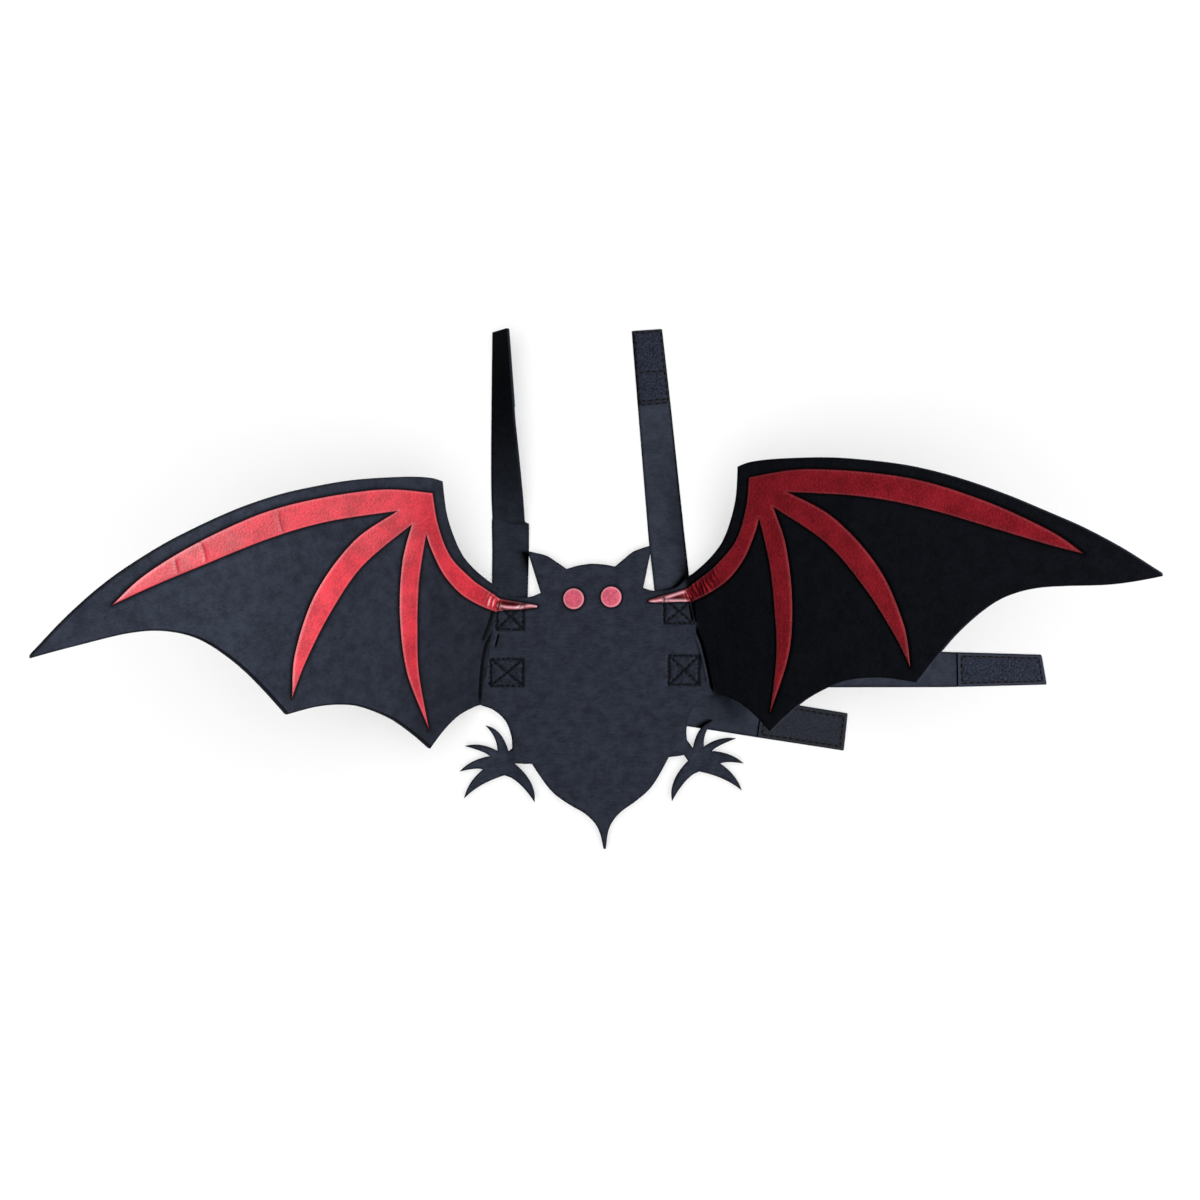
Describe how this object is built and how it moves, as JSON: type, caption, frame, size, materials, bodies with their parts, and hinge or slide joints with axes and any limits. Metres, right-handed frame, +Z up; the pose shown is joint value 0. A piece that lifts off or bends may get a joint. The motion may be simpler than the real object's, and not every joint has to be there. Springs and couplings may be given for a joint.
{
  "type": "bat-shaped pet back harness with wings",
  "caption": "Bat-shaped felt back harness with raised wings, red printed wing bones and eyes, and neck and belly straps with hook-and-loop patches, lying flat.",
  "frame": {"origin": "middle of the bounding box, on the floor that the harness lies on", "axes": "+Z up from the floor, +Y towards the head and the neck straps, +X to the right as seen from above, along the wing span"},
  "size_m": [0.4558, 0.2594, 0.1488],
  "materials": {
    "felt": "matte black pressed felt",
    "strap_felt": "matte thin black felt",
    "fastener": "fuzzy hook-and-loop tape",
    "red_film": "satin pressed film"
  },
  "bodies": {
    "root": {"felt_bat": "felt", "bone_print_left": "red_film", "bone_print_right": "red_film", "eye_left": "red_film", "eye_right": "red_film", "neck_strap_left": "strap_felt", "neck_strap_right": "strap_felt", "belly_strap_left": "strap_felt", "belly_strap_right": "strap_felt", "neck_patch_left": "fastener", "neck_patch_right": "fastener", "belly_patch_left": "fastener", "belly_patch_right": "fastener"}
  },
  "joints": []
}
